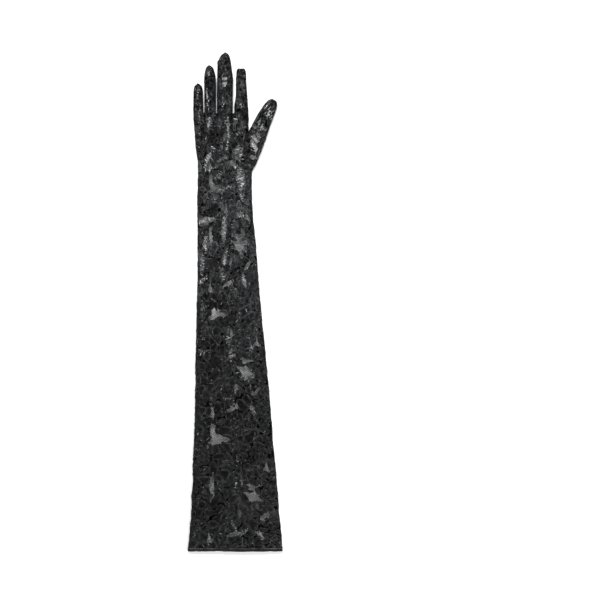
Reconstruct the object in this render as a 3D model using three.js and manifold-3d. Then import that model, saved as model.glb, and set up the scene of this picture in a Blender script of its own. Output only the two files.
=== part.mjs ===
// Long lace opera glove for a left hand, lying on its palm side as it is laid out flat.
//
// Millimetres, +Z up. The glove lies along Y with its fingertips towards +Y and its open hem towards -Y.
// The thumb points towards +X and the back of the hand faces up. X = 0 and Y = 0 are the middle of the
// glove's outline, and Z = 0 is the surface that it lies on.
//
// The glove is sewn from a back panel and a palm panel, three fourchettes that form the walls between
// the fingers, a set-in thumb and a turned hem. Everything is hollow, open at the hem and up into each
// finger. The lace repeats along the arm, and its larger open figures are cut through both panels.

import * as THREE from "three";
import { mergeVertices } from "three/addons/utils/BufferGeometryUtils.js";
import Module from "manifold-3d";

// Driving dimensions.
const LENGTH = 696; // hem to the tip of the middle finger
const HEM_WIDTH = 133; // across the flat opening
const WALL = 1.0; // one layer of corded lace
const HEM_DEPTH = 6; // the turned hem, along the arm
const HEM_WALL = 1.7; // two layers of lace and the turning
const HEM_PROUD = 0.3; // how far the hem stands out of the sleeve
const SEAM_Z = 4; // height at which each section is widest
const PART_Z = 1.5; // height of the side seams, rolled a little under the glove as it lies
const GAP = 0.3; // clearance between neighbouring pieces
const LACE_REPEAT = 175; // length of one repeat of the lace along the arm
const THUMB_TURN = 25; // degrees between the thumb and the arm
const HEM_Y = -LENGTH / 2;
const CROTCH_Y = 264; // where the fingers leave the hand

// Sampling of the lofted sections.
const ARM_STEP = 24;
const LOWER_STEPS = 3;
const CROWN_STEPS = 12;
const CROWN_POWER = 3; // 2 is an ellipse, more is flatter on top

// A table with named columns, as a list of row objects.
function table(columns, rows) {
  const names = columns.split(" ");
  return rows.map((row) => Object.fromEntries(row.map((value, i) => [names[i], value])));
}

// Hem to knuckles: the two sides and the height of the crown.
const ARM = table("y left right high", [
  [HEM_Y, -HEM_WIDTH / 2, HEM_WIDTH / 2, 8.0],
  [-333, -64.9, 65.5, 8.2],
  [-299, -61.8, 62.4, 8.6],
  [-249, -59.6, 58.3, 8.9],
  [-182, -57.3, 52.2, 9.0],
  [-115, -55.9, 47.1, 9.0],
  [-47, -54.7, 40.3, 9.0],
  [20, -53.1, 33.5, 8.9],
  [70, -52.2, 30.3, 8.8],
  [120, -53.1, 25.1, 8.8],
  [154, -52.7, 23.5, 8.7],
  [178, -52.0, 23.2, 8.7],
  [195, -52.6, 21.8, 8.7],
  [212, -54.4, 20.2, 8.8],
  [241, -57.0, 18.4, 8.6],
  [258, -58.6, 19.0, 8.0],
  [CROTCH_Y, -58.4, 19.0, 6.4],
]);

// Each finger from inside the hand to its tip.
const FINGERS = {
  little: table("y left right high", [
    [250, -57.0, -44.6, 7.5],
    [264, -58.5, -44.0, 7.8],
    [290, -58.6, -44.8, 7.8],
    [297, -58.0, -45.2, 7.6],
    [302, -56.0, -47.0, 7.0],
    [304.6, -53.8, -49.4, 5.9],
  ]),
  ring: table("y left right high", [
    [250, -42.2, -27.4, 7.6],
    [264, -43.2, -26.6, 8.0],
    [300, -43.4, -26.4, 8.0],
    [315, -43.2, -27.0, 7.9],
    [323, -42.0, -29.0, 7.6],
    [328, -40.0, -32.0, 7.0],
    [330.4, -38.2, -34.6, 5.9],
  ]),
  middle: table("y left right high", [
    [250, -24.8, -4.6, 7.8],
    [264, -25.6, -3.4, 8.3],
    [300, -25.7, -2.9, 8.3],
    [308, -25.6, -2.6, 7.9],
    [316, -25.4, -3.0, 8.2],
    [332, -24.4, -5.0, 8.0],
    [341, -21.4, -7.2, 7.5],
    [346, -17.6, -9.8, 6.8],
    [348, -15.4, -11.8, 5.5],
  ]),
  index: table("y left right high", [
    [250, -0.4, 17.4, 7.8],
    [264, -1.4, 18.8, 8.1],
    [274, -1.6, 18.2, 8.1],
    [288, 0.8, 17.2, 7.9],
    [312, 1.1, 15.6, 7.6],
    [321, 1.6, 15.4, 7.2],
    [325.4, 4.2, 13.4, 5.9],
  ]),
};

// The thumb along its own axis, measured back from its tip.
const THUMB_TIP = new THREE.Vector2(55, 283.6);
const THUMB = table("y left right high", [
  [-106, -9.0, 14.4, 8.4],
  [-91, -12.0, 15.1, 8.7],
  [-64, -14.0, 13.6, 8.7],
  [-48, -13.9, 11.9, 8.6],
  [-33, -13.2, 10.5, 8.3],
  [-20, -11.9, 9.3, 8.1],
  [-10.5, -9.9, 8.0, 7.7],
  [-4, -7.2, 6.2, 7.1],
  [-1.2, -4.6, 3.8, 5.9],
]);

// Soft folds and dents of the upper side. turn is in degrees from X, and a negative deep is a dent.
const FOLDS = table("x y long wide turn deep", [
  [-14, -300, 44, 16, 12, -0.7],
  [18, -262, 60, 18, -18, 0.6],
  [-30, -214, 50, 20, 24, -0.7],
  [24, -168, 46, 16, -30, -0.6],
  [-12, -120, 70, 22, 82, 0.5],
  [20, -62, 44, 18, 20, -0.6],
  [-34, -20, 44, 16, -12, -0.5],
  [2, 46, 60, 16, 80, 0.5],
  [-34, 96, 40, 14, 10, -0.5],
  [4, 142, 34, 12, -8, -0.6],
  [-18, 206, 44, 10, 84, 0.4],
]);

// The open figures of one lace repeat: across is the share of the arm's width from its left seam, and
// along the share of the repeat. Each is a figure with 2, 3 or 4 points, turned from X in degrees.
const WINDOWS = table("across along long wide turn points", [
  [0.223, 0.1, 19, 7, 90, 3],
  [0.5, 0.14, 15, 5, 25, 2],
  [0.775, 0.14, 13, 7, -60, 3],
  [0.7, 0.41, 22, 12, -25, 4],
  [0.233, 0.53, 22, 5, 88, 2],
  [0.72, 0.52, 20, 8, 8, 3],
  [0.89, 0.67, 16, 9, 80, 3],
  [0.305, 0.87, 25, 15, -5, 3],
  [0.24, 0.975, 14, 6, 85, 2],
  [0.53, 0.745, 11, 3.5, 88, 2],
  [0.56, 0.31, 10, 3.5, 85, 2],
  [0.83, 0.285, 12, 5, 50, 2],
]);
const WINDOW_WAIST = 0.8; // how far the sides between the points are drawn in, 1 being straight
const WINDOW_EDGE = 0.055; // a figure nearer a seam than this share of the width stays closed
const WINDOW_TOP_Y = 236; // the knuckles and the fingers have no large figures
const THUMB_ROOT = { y: 168, across: 0.8 }; // nor has the thumb's root

// Between each two fingers, the fourchette: the plan box that it takes out of the walls.
const FOURCHETTE_Z = { low: PART_Z + GAP / 2, high: 6 };
const FOURCHETTE_REACH = 4.2; // how far the strip reaches into each finger
const FOURCHETTES = table("name x top", [
  ["fourchette_ring_little", -43.9, 292],
  ["fourchette_middle_ring", -26.0, 314],
  ["fourchette_index_middle", -1.6, 314],
]);

// The row of a table at y, worked out between its neighbours.
function rowAt(rows, y) {
  const after = rows.findIndex((row) => row.y >= y);
  if (after <= 0) return { ...rows[after === 0 ? 0 : rows.length - 1], y };
  const a = rows[after - 1];
  const b = rows[after];
  const share = (y - a.y) / (b.y - a.y);
  return {
    y,
    left: THREE.MathUtils.lerp(a.left, b.left, share),
    right: THREE.MathUtils.lerp(a.right, b.right, share),
    high: THREE.MathUtils.lerp(a.high, b.high, share),
  };
}

// Height that the folds add to the upper side at a place.
function foldAt(x, y) {
  return FOLDS.reduce((sum, fold) => {
    const turn = THREE.MathUtils.degToRad(fold.turn);
    const dx = x - fold.x;
    const dy = y - fold.y;
    const along = (dx * Math.cos(turn) + dy * Math.sin(turn)) / (fold.long / 2);
    const across = (dy * Math.cos(turn) - dx * Math.sin(turn)) / (fold.wide / 2);
    return sum + fold.deep * Math.exp(-(along * along + across * across));
  }, 0);
}

// One closed section as [x, z] pairs: flat underneath, widest at the seams and crowned on top.
// inset is the depth under the outer surface: negative outside it. base is the underside's height.
function sectionOutline({ y, left, right, high }, inset, base = inset) {
  const middle = (left + right) / 2;
  const half = (right - left) / 2 - inset;
  const foot = Math.min(half * 0.7, SEAM_Z);
  const crown = high - inset - SEAM_Z;
  const right_side = [];
  for (let i = 0; i < LOWER_STEPS; i++) {
    const angle = (Math.PI / 2) * (i / LOWER_STEPS);
    const x = half - foot + foot * Math.sin(angle);
    right_side.push([x, SEAM_Z - (SEAM_Z - base) * Math.cos(angle)]);
  }
  const top = [];
  for (let i = 0; i <= CROWN_STEPS; i++) {
    const angle = Math.PI * (i / CROWN_STEPS);
    const x = half * Math.sign(Math.cos(angle)) * Math.abs(Math.cos(angle)) ** (2 / CROWN_POWER);
    const rise = Math.sin(angle) ** (2 / CROWN_POWER);
    top.push([x, SEAM_Z + rise * (crown + foldAt(middle + x, y))]);
  }
  const left_side = right_side.map(([x, z]) => [-x, z]).reverse();
  return [...right_side, ...top, ...left_side].map(([x, z]) => [middle + x, z]);
}

// A closed skin through sections that run towards +Y, with a flat end on each.
function loft(rows, inset, base) {
  const positions = [];
  const indices = [];
  const outlines = rows.map((row) => sectionOutline(row, inset, base));
  const count = outlines[0].length;
  outlines.forEach((outline, i) => outline.forEach(([x, z]) => positions.push(x, rows[i].y, z)));
  for (let i = 0; i < rows.length - 1; i++) {
    for (let j = 0; j < count; j++) {
      const a = i * count + j;
      const b = i * count + ((j + 1) % count);
      indices.push(a, a + count, b + count, a, b + count, b);
    }
  }
  for (const [row, start] of [[0, 0], [rows.length - 1, (rows.length - 1) * count]]) {
    const hub = positions.length / 3;
    positions.push((rows[row].left + rows[row].right) / 2, rows[row].y, SEAM_Z);
    for (let j = 0; j < count; j++) {
      const a = start + j;
      const b = start + ((j + 1) % count);
      indices.push(...(row === 0 ? [hub, a, b] : [hub, b, a]));
    }
  }
  const geometry = new THREE.BufferGeometry();
  geometry.setAttribute("position", new THREE.Float32BufferAttribute(positions, 3));
  geometry.setIndex(indices);
  return geometry;
}

// The table's rows between two places, with more between them every step or so.
function resampled(rows, from, to, step) {
  const inside = rows.map((row) => row.y).filter((y) => y > from + 1 && y < to - 1);
  const stops = [from, ...inside, to];
  const places = stops.slice(1).flatMap((stop, i) => {
    const pieces = Math.max(1, Math.round((stop - stops[i]) / step));
    return Array.from({ length: pieces }, (_, k) => stops[i] + ((k + 1) / pieces) * (stop - stops[i]));
  });
  return [from, ...places].map((y) => rowAt(rows, y));
}

// A tube's last row moved by extra towards its tip, and drawn in by the same at its sides.
function shortened(rows, extra) {
  return rows.map((row) => ({ ...row, y: Math.min(row.y, rows[rows.length - 1].y - extra) }))
    .filter((row, i, all) => i === 0 || row.y > all[i - 1].y);
}

const wasm = await Module();
wasm.setup();

// A closed geometry as a solid that can be cut and joined.
function solidOf(geometry) {
  const bare = new THREE.BufferGeometry();
  bare.setAttribute("position", geometry.getAttribute("position"));
  bare.setIndex(geometry.getIndex());
  const merged = mergeVertices(bare, 1e-4);
  return new wasm.Manifold(new wasm.Mesh({
    numProp: 3,
    vertProperties: merged.attributes.position.array,
    triVerts: new Uint32Array(merged.index.array),
  }));
}

function block(low, high) {
  const size = high.map((value, i) => value - low[i]);
  const geometry = new THREE.BoxGeometry(...size);
  geometry.translate(...low.map((value, i) => value + size[i] / 2));
  return solidOf(geometry);
}

// The glove's form at a depth under its outer surface: the arm and hand with the four fingers.
function handForm(inset, { base = inset, from = HEM_Y, to = CROTCH_Y } = {}) {
  const arm = solidOf(loft(resampled(ARM, from, to, ARM_STEP), inset, base));
  return Object.values(FINGERS).reduce(
    (form, rows) => form.add(solidOf(loft(shortened(rows, inset), inset, base))), arm);
}

function thumbForm(inset) {
  const geometry = loft(shortened(THUMB, inset), inset);
  geometry.rotateZ(-THREE.MathUtils.degToRad(THUMB_TURN));
  geometry.translate(THUMB_TIP.x, THUMB_TIP.y, 0);
  return solidOf(geometry);
}

// The closed outline of one open figure: its points, with a drawn-in waist between each two.
function windowShape({ long, wide, points }) {
  const waist = points === 2 ? 1 : WINDOW_WAIST * Math.cos(Math.PI / points);
  const outline = Array.from({ length: points * 2 }, (_, i) => {
    const angle = (Math.PI / points) * i;
    const reach = i % 2 ? waist : 1;
    return new THREE.Vector2((long / 2) * reach * Math.cos(angle), (wide / 2) * reach * Math.sin(angle));
  });
  return new THREE.Shape(outline);
}

// Every open figure of the lace, as upright prisms from low to high.
function windowCutters(low, high) {
  const cutters = [];
  for (let repeat = 0; repeat * LACE_REPEAT < LENGTH; repeat++) {
    for (const figure of WINDOWS) {
      const y = HEM_Y + (repeat + figure.along) * LACE_REPEAT;
      const { left, right } = rowAt(ARM, y);
      const by_thumb = y > THUMB_ROOT.y && figure.across > THUMB_ROOT.across;
      const by_seam = Math.min(figure.across, 1 - figure.across) < WINDOW_EDGE;
      if (y > WINDOW_TOP_Y || by_thumb || by_seam) continue;
      const depth = high - low;
      const cutter = new THREE.ExtrudeGeometry(windowShape(figure), { depth, bevelEnabled: false });
      cutter.rotateZ(THREE.MathUtils.degToRad(figure.turn));
      cutter.scale((right - left) / HEM_WIDTH, 1, 1);
      cutter.translate(left + figure.across * (right - left), y, low);
      cutters.push(solidOf(cutter));
    }
  }
  return cutters.reduce((all, cutter) => all.add(cutter));
}

// Extents of the cutting blocks, well outside the glove.
const FAR = 400;
const SKY = 40;
const panel_start = HEM_Y + HEM_DEPTH + GAP;

// The walls of arm, hand and fingers, opened for the thumb, then parted at the seams.
const cavity = handForm(WALL, { from: HEM_Y - WALL, to: CROTCH_Y - WALL });
const thumb_cavity = thumbForm(WALL);
const walls = handForm(0).subtract(cavity).subtract(thumb_cavity);
const sleeve_end = block([-FAR, -FAR, -SKY], [FAR, panel_start, SKY]);
const body = walls.subtract(sleeve_end);

function fourchetteZone({ x, top }, margin) {
  return block(
    [x - FOURCHETTE_REACH - margin, CROTCH_Y - 8 - margin, FOURCHETTE_Z.low - margin],
    [x + FOURCHETTE_REACH + margin, top + margin, FOURCHETTE_Z.high + margin]);
}

const strips_room = FOURCHETTES.map((row) => fourchetteZone(row, GAP)).reduce((all, zone) => all.add(zone));
const panels = body.subtract(strips_room);
const upper = panels.intersect(block([-FAR, -FAR, PART_Z + GAP / 2], [FAR, FAR, SKY]));
const lower = panels.intersect(block([-FAR, -FAR, -SKY], [FAR, FAR, PART_Z - GAP / 2]));
const back_panel = upper.subtract(windowCutters(SEAM_Z + 1, SKY));
const palm_panel = lower.subtract(windowCutters(-SKY, PART_Z));

// The thumb's wall, cut where it meets the side of the hand.
const thumb = thumbForm(0).subtract(thumb_cavity).subtract(handForm(-GAP, { base: -GAP }));

// The turned hem, flush underneath and a little proud elsewhere.
const hem_rows = resampled(ARM, HEM_Y, HEM_Y + HEM_DEPTH, HEM_DEPTH);
const hem_room = resampled(ARM, HEM_Y - WALL, HEM_Y + HEM_DEPTH + WALL, HEM_DEPTH);
const hem_band = solidOf(loft(hem_rows, -HEM_PROUD, 0))
  .subtract(solidOf(loft(hem_room, HEM_WALL - HEM_PROUD, HEM_WALL)));

const lace = new THREE.MeshStandardMaterial({ color: 0x1d1e20, roughness: 0.55, metalness: 0 });
const side_lace = new THREE.MeshStandardMaterial({ color: 0x18191b, roughness: 0.6, metalness: 0 });
const hem_lace = new THREE.MeshStandardMaterial({ color: 0x202124, roughness: 0.5, metalness: 0 });

// The largest body of a solid: what the cuts leave as crumbs isn't sewn to anything.
function largest(solid) {
  return solid.decompose().reduce((best, part) => (part.volume() > best.volume() ? part : best));
}

function meshOf(name, solid, material) {
  const { numProp, vertProperties, triVerts } = largest(solid).getMesh();
  const positions = new Float32Array((vertProperties.length / numProp) * 3);
  for (let i = 0; i < positions.length / 3; i++) {
    positions.set(vertProperties.subarray(i * numProp, i * numProp + 3), i * 3);
  }
  const geometry = new THREE.BufferGeometry();
  geometry.setAttribute("position", new THREE.BufferAttribute(positions, 3));
  geometry.setIndex(new THREE.BufferAttribute(triVerts, 1));
  geometry.computeVertexNormals();
  const mesh = new THREE.Mesh(geometry, material);
  mesh.name = name;
  return mesh;
}

const glove = new THREE.Group();
glove.add(meshOf("back_panel", back_panel, lace));
glove.add(meshOf("palm_panel", palm_panel, lace));
glove.add(meshOf("thumb", thumb, lace));
glove.add(meshOf("hem_band", hem_band, hem_lace));
FOURCHETTES.forEach((row) => {
  glove.add(meshOf(row.name, body.intersect(fourchetteZone(row, 0)), side_lace));
});

export default glove;
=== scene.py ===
import math

import bpy
import numpy as np
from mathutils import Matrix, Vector


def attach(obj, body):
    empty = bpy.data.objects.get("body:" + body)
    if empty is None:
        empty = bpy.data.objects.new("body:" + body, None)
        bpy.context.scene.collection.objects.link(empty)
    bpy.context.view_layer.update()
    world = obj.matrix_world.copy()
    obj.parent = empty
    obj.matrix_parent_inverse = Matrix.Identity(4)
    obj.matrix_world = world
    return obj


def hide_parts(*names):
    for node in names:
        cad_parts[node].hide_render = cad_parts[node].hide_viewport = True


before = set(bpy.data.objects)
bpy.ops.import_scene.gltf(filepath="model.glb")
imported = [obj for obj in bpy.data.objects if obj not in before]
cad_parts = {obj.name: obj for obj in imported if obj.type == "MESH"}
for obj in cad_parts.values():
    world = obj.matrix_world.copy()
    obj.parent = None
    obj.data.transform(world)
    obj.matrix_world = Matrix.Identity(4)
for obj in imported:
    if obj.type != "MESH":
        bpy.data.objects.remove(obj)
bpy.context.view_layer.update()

# A long black lace glove for a left hand, lying on its palm side. Lengths in the tables are in
# millimetres in the row frame: X towards the thumb, Y towards the fingertips, Z up.

MM = 0.001
HEM_Y = -348.0
CROTCH_Y = 264.0
KNUCKLE_Y = 236.0  # where the fingers' crowns begin to rise out of the hand
VALLEY = 2.2  # depth of the dips between them
SEAM_Z = 4.0  # where each section is widest
PART_Z = 1.5  # height of the side seams
FLOOR_GAP = 0.02
THUMB_TURN = math.radians(25)
THUMB_TIP = (55.0, 283.6)
THUMB_ROOT_Y, THUMB_ROOT_ACROSS = 168.0, 0.8  # no open figure of the chart beyond both, where the thumb is

# Lace.
LACE_REPEAT = 175.0
CHART_WIDTH = 120.0  # width that the lace is charted at, stretched or eased to fit the arm
CHART_OVERLAP = 40.0  # how much of the chart is drawn again past each end of the repeat
EASE_Y = 222.0  # where the arm's chart begins to ease into that of the fingers
THUMB_CHART_Y = 60.0  # how far along the chart the thumb's lace is cut
PALM_SHIFT = 61.0  # and how far the palm's is moved, so that it doesn't match the back
CURL_WIDE, CURL_TALL, CURL_ROOM = 8.8, 11.6, 6.0  # spacing of the small curls, and their room from petals
FIGURE_WAIST, FIGURE_SHARPNESS = 0.8, 1.6  # of an open figure's sides and points
SHEET = 0.55  # thickness of the corded ground
INSET = 0.35  # of the lace under the glove's outer form
CORD = 0.44  # radius of the cord round each petal and figure
NET_PITCH = 1.95
STRAND, THUMB_STRAND = 0.29, 0.17  # radius of the net's strands
SEAM_SOLID = 2.6  # width of the solid edge along each seam
WINDOW_REACH = 26.0  # how far from its middle an open figure is worked out
GAP, GAP_RANGE = 0.8, {1: (0.15, 1.4), -1: (0.1, 0.7)}  # half the open line between two petals
ROUND = 1.1  # how far a petal's corners are rounded
PAD, PAD_WIDE = 0.85, 3.8  # height of a petal's padding, and how far in from its edge it rises
RING, RING_AT, RING_WIDE = 0.26, 2.7, 0.5  # the same of its inner cord, and half its width
RUNG, OFFSET = 0.32, 0.3  # height of the bars over some petals, and of one petal over the next
RUNG_PITCH, RIB_PITCH, TWIST_PITCH = 2.9, 1.15, 0.9  # of those bars, a petal's ribs, and a cord's twist
CORD_STEP = {1: 1.7, -1: 2.6}
LOWER_Y = (-110, 20)  # the petals differ less in tone below these, and their painted highlights fade out
THUMB_SHADE = 1.3, 0.8  # how much painted shade darkens the thumb's lace and cords
GLOSSY, DARK = (0.34, 0.1), (1.15, -0.2)  # radius of single threads, and their height over the lace
RELIEF = {
    ("arm", 1): 1.0, ("arm", -1): 0.6, ("finger", 1): 0.7, ("finger", -1): 0.42,
    ("thumb", 1): 0.8, ("thumb", -1): 0.5,
}

# Meshes.
STEP = {1: 0.92, -1: 1.3}  # spacing of the rows on the back and on the palm
ARM_COLUMNS, FINGER_COLUMNS, THUMB_COLUMNS = 100, 22, 30
CURVE_POINTS = 160
SHARP = math.radians(55)
DEEP = 5.0  # the edge value of cords and threads, as of a place well inside a petal
FAR = 99.0

# Camera, in metres and millimetres of its sensor.
PHOTO_WIDTH = 0.84
CAMERA_PLACE = (0.0907, 0.0035)
LENS, SENSOR = 100, 36


def table(columns, text):
    """Rows of numbers, one on each line of the text, as dicts with the columns' names."""
    names = columns.split()
    return [dict(zip(names, map(float, line.split()))) for line in text.strip().splitlines()]


# Sections of the arm and hand, of each finger, and of the thumb along its own axis from its tip.
ARM = table("y left right high", """
-348 -66.5 66.5 8
-333 -64.9 65.5 8.2
-299 -61.8 62.4 8.6
-249 -59.6 58.3 8.9
-182 -57.3 52.2 9
-115 -55.9 47.1 9
-47 -54.7 40.3 9
20 -53.1 33.5 8.9
70 -52.2 30.3 8.8
120 -53.1 25.1 8.8
154 -52.7 23.5 8.7
178 -52 23.2 8.7
195 -52.6 21.8 8.7
212 -54.4 20.2 8.8
241 -57 18.4 8.6
258 -58.6 19 8
264 -58.4 19 6.4
""")

FINGERS = {
    "little": table("y left right high", """
250 -57 -44.6 7.5
264 -58.5 -44 7.8
290 -58.6 -44.8 7.8
297 -58 -45.2 7.6
302 -57.1 -46.3 7
304.6 -54.8 -48.8 5.9
305.3 -53 -50.4 5
"""),
    "ring": table("y left right high", """
250 -42.2 -27.4 7.6
264 -43.2 -26.6 8
300 -43.4 -26.4 8
315 -43.2 -27 7.9
323 -42 -29 7.6
328 -41.2 -30.6 7
330.4 -39 -33 5.9
331.1 -37.4 -34.6 5
"""),
    "middle": table("y left right high", """
250 -24.8 -4.6 7.8
264 -25.6 -3.4 8.3
300 -25.7 -2.9 8.3
308 -25.6 -2.6 7.9
316 -25.4 -3 8.2
332 -24.8 -5 8
336.5 -25 -5.8 7.8
339 -22.8 -6.2 7.6
341 -22.4 -6.6 7.5
346 -19.2 -8.8 6.6
348 -16.9 -11.1 5.5
348.6 -15.3 -12.5 4.8
"""),
    "index": table("y left right high", """
250 -0.4 17.4 7.8
264 -1.4 18.8 8.1
274 -1.6 18.2 8.1
288 0.8 17.2 7.9
312 1.1 15.6 7.6
321 1.6 15.4 7.2
325.2 2.4 14.6 5.9
326.2 3.4 13.4 5
"""),
}

THUMB = table("y left right high", """
-106 -9 14.4 8.4
-91 -12 15.1 8.7
-64 -14 13.6 8.7
-48 -13.9 11.9 8.6
-33 -13.2 10.5 8.3
-20 -11.9 9.3 8.1
-10.5 -9.9 8 7.7
-4 -7.2 6.2 7.1
-1.2 -4.6 3.8 5.9
-0.4 -2.6 2 5
""")

# The narrow strips between the fingers, from the height of the top down to the crotch.
FOURCHETTES = [
    {"name": "fourchette_ring_little", "left": "little", "right": "ring", "top": 292.0},
    {"name": "fourchette_middle_ring", "left": "ring", "right": "middle", "top": 314.0},
    {"name": "fourchette_index_middle", "left": "middle", "right": "index", "top": 314.0},
]
STRIP_LOW, STRIP_HIGH = PART_Z + 0.2, 6.1
STRIP_RISE, STRIP_START = 4.6, 8.0  # the finger's side opens this high within this length of its top
STRIP_PITCH = 3.2

# The sides of each sheet that are sewn to the palm, as its first or last column.
SEAM_COLUMNS = {"arm": (0, -1), "little": (0,), "ring": (), "middle": (), "index": (-1,)}

# The hem's section: how far along the arm from its fold, and how deep in the cloth.
HEM_DEPTH, HEM_PITCH = 6.2, 2.6
HEM_OUT, HEM_UP = 0.35, 0.3  # how far it stands out past the arm's lowest section
HEM_FOLD = table("along deep", """
6.2 0.35
6.1 0
4.9 0
4.3 0.28
3.7 0.02
2.8 0
1.9 0
1.0 0
0.4 0.12
0.08 0.45
0 0.8
0.15 1.2
0.6 1.45
2.6 1.5
5.8 1.5
6.2 1.2
""")

# Folds of the cloth, high or deep.
FOLDS = table("x y long wide turn deep", """
-14 -300 44 16 12 -0.7
18 -262 60 18 -18 0.6
-30 -214 50 20 24 -0.7
24 -168 46 16 -30 -0.6
-12 -120 70 22 82 0.5
20 -62 44 18 20 -0.6
-34 -20 44 16 -12 -0.5
2 46 60 16 80 0.5
-34 96 40 14 10 -0.5
4 142 34 12 -8 -0.6
-18 206 44 10 84 0.4
-45 238 52 7 86 -0.8
-32 237 58 7 79 -0.8
-3 240 40 8 95 -0.7
2.5 220 32 5 62 -0.8
18 222 60 4.5 95 -0.8
-14.2 308.4 13 2.4 0 -1.5
8.2 312.5 20 2.2 0 -0.9
""")

# One repeat of the lace. across is the share of the chart's width, along that of the repeat.
WINDOWS = table("across along long wide turn points", """
0.223 0.1 19 7 90 3
0.5 0.14 15 5 25 2
0.775 0.14 13 7 -60 3
0.7 0.44 28 14 -25 4
0.233 0.53 22 5.5 88 2
0.72 0.52 22 9 8 3
0.89 0.67 17 10 80 3
0.305 0.9 30 18 -5 3
0.24 0.975 15 7 85 2
0.53 0.745 12 4 88 2
0.56 0.31 11 4 85 2
0.83 0.285 13 5.5 50 2
""")
WINDOW_TOP_Y = 236.0

FLOWERS = table("across along reach petals turn", """
0.08 0.43 13 6 0
0.09 0.24 12 6 30
0.10 0.70 12 6 10
0.11 0.93 12 5 40
0.40 0.54 17 8 0
0.42 0.25 15 7 20
0.62 0.02 12 7 0
0.86 0.44 13 6 15
0.88 0.84 13 6 0
0.70 0.74 15 7 25
0.52 0.90 13 6 0
0.88 0.17 11 5 10
""")

LEAVES = table("across along long turn", """
0.28 0.41 18 50
0.24 0.66 20 120
0.56 0.66 16 60
0.60 0.44 18 100
0.30 0.76 16 20
0.64 0.18 18 140
0.30 0.17 18 60
0.95 0.30 14 95
0.97 0.58 16 80
0.74 0.92 18 30
0.40 0.98 16 160
0.03 0.08 16 85
0.16 0.03 14 40
0.90 0.99 14 10
""")

# Open figures at single places on the hand, wrist and thumb, with bars across them.
PLACED = {
    "arm": table("x y long wide turn points bars", """
8 172 34 12 95 2 6
3 211 26 15 85 4 5
-3 194 9 8 0 2 0
6 80 22 12 20 3 1
-38 115 22 9 12 2 1
-16 106 30 7 88 2 4
-41 84 18 7 80 2 2
-10 246 26 4.5 95 2 3
-34 205 14 7 -60 3 0
-39 188 13 6 70 3 1
-28 146 13 9 20 4 0
-5 -73 22 12 85 4 4
"""),
    "thumb": table("x y long wide turn points bars", """
1.2 -70 20 7 139 2 0
-0.9 -60.5 13 8 142 2 0
-1.1 -52.2 10 7 120 3 0
-7 -38.2 9 7 90 3 0
-7.8 -46.6 7 6 60 3 0
2.5 -44 9 3.5 10 2 0
0.5 -24 9 5 100 3 1
7.2 -86 8 6 0 2 0
"""),
    "finger": [],
}

# Single threads laid over the lace: glossy ones, drawn light as painted glints, and dark bars where the shine
# is under 0.
# First the middle finger's knuckle, whose glossy rows are painted highlights on either side of one dark
# thread standing for the painted shade of its crease, then the thumb.
KNUCKLE_THREADS = table("x0 y0 x1 y1 shine", """
-17.4 314 -11.6 314.2 0.7
-18 312.9 -11.2 313.1 1
-18.2 311.8 -11 311.9 1.1
-18 310.7 -11.4 310.8 0.9
-19.6 308.9 -9.4 309.1 -1
-17.6 307.2 -11.2 307.3 0.9
-17.2 306 -11.6 306.1 1
-16.9 304.8 -12 304.9 0.8
-16.4 303.6 -12.4 303.7 1
-15.8 302.3 -12.8 302.4 0.7
-15.3 301 -13.4 301.1 0.8
""")
THUMB_THREADS = table("x0 y0 x1 y1 shine", """
-5.7 -14.2 -2.4 -5.7 1
-6.2 -13.6 -3.2 -5.9 0.8
-1.8 -17.4 0 -10.9 1
5.1 -17.3 5.9 -14.6 0.8
-6.4 -6.8 -3.6 -2.6 0.7
-7.3 -17.8 -5.8 -15 1
2.2 -14.5 3.2 -8.5 0.35
-3.5 -24.5 -3 -19.4 0.9
-0.1 -25.7 2.3 -21.8 1
4.5 -26.4 6.3 -21.3 0.9
4.3 -20.1 4.2 -16.7 0.9
-2 -44.2 3.7 -42.9 0.8
0.2 -45.9 2.1 -49.5 0.9
2 -55.7 5.3 -57.4 0.7
2.6 -60 6 -63 0.5
-6.5 -62.6 5.2 -67.4 -1
-5.6 -54.6 5.6 -61.8 -1
1.6 -47.8 6.4 -57 -1
-7.9 -52.5 -2.9 -46.7 -1
-9.6 -43.8 -3.6 -45.6 -1
-2.5 -49.9 3.4 -54.6 -1
-4.5 -12.4 -1.6 -6 -1
-3.2 -17 -0.9 -11 -1
""")
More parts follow.
